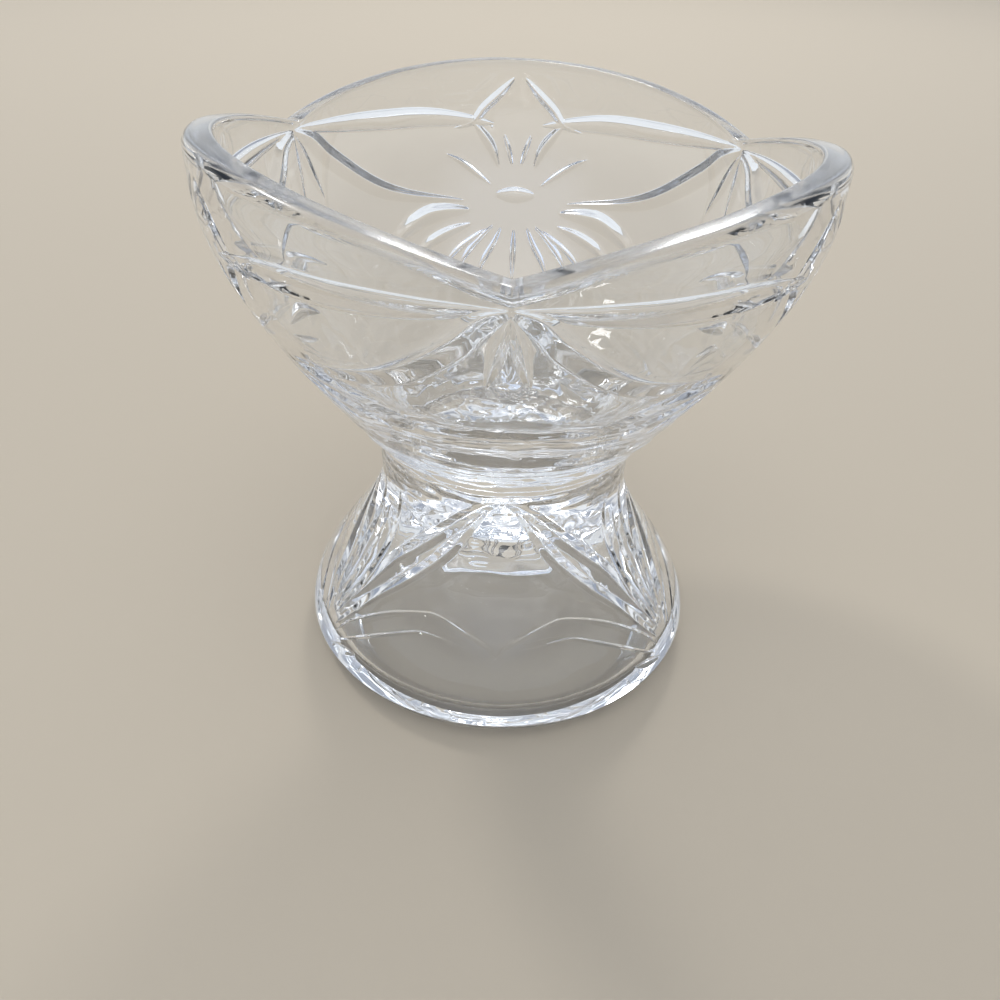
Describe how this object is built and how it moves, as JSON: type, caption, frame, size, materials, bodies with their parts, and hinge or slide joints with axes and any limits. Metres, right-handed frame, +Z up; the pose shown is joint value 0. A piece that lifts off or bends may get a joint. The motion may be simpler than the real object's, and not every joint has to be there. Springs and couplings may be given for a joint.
{
  "type": "crystal candlestick",
  "caption": "Footed crystal bowl with a scalloped rim and wheel-cut arcs and stars, used as a candle holder; it stands on a hollow flared foot.",
  "frame": {"origin": "centre of the foot's ground ring, on the surface that the candlestick stands on", "axes": "+Z up along the turning axis; one notch of the rim faces -Y, the other two lie 120 degrees to each side of it"},
  "size_m": [0.106, 0.1059, 0.1067],
  "materials": {
    "bowl_crystal": "polished clear crystal",
    "foot_crystal": "polished clear crystal"
  },
  "bodies": {
    "root": {"bowl": "bowl_crystal", "foot": "foot_crystal"}
  },
  "joints": []
}
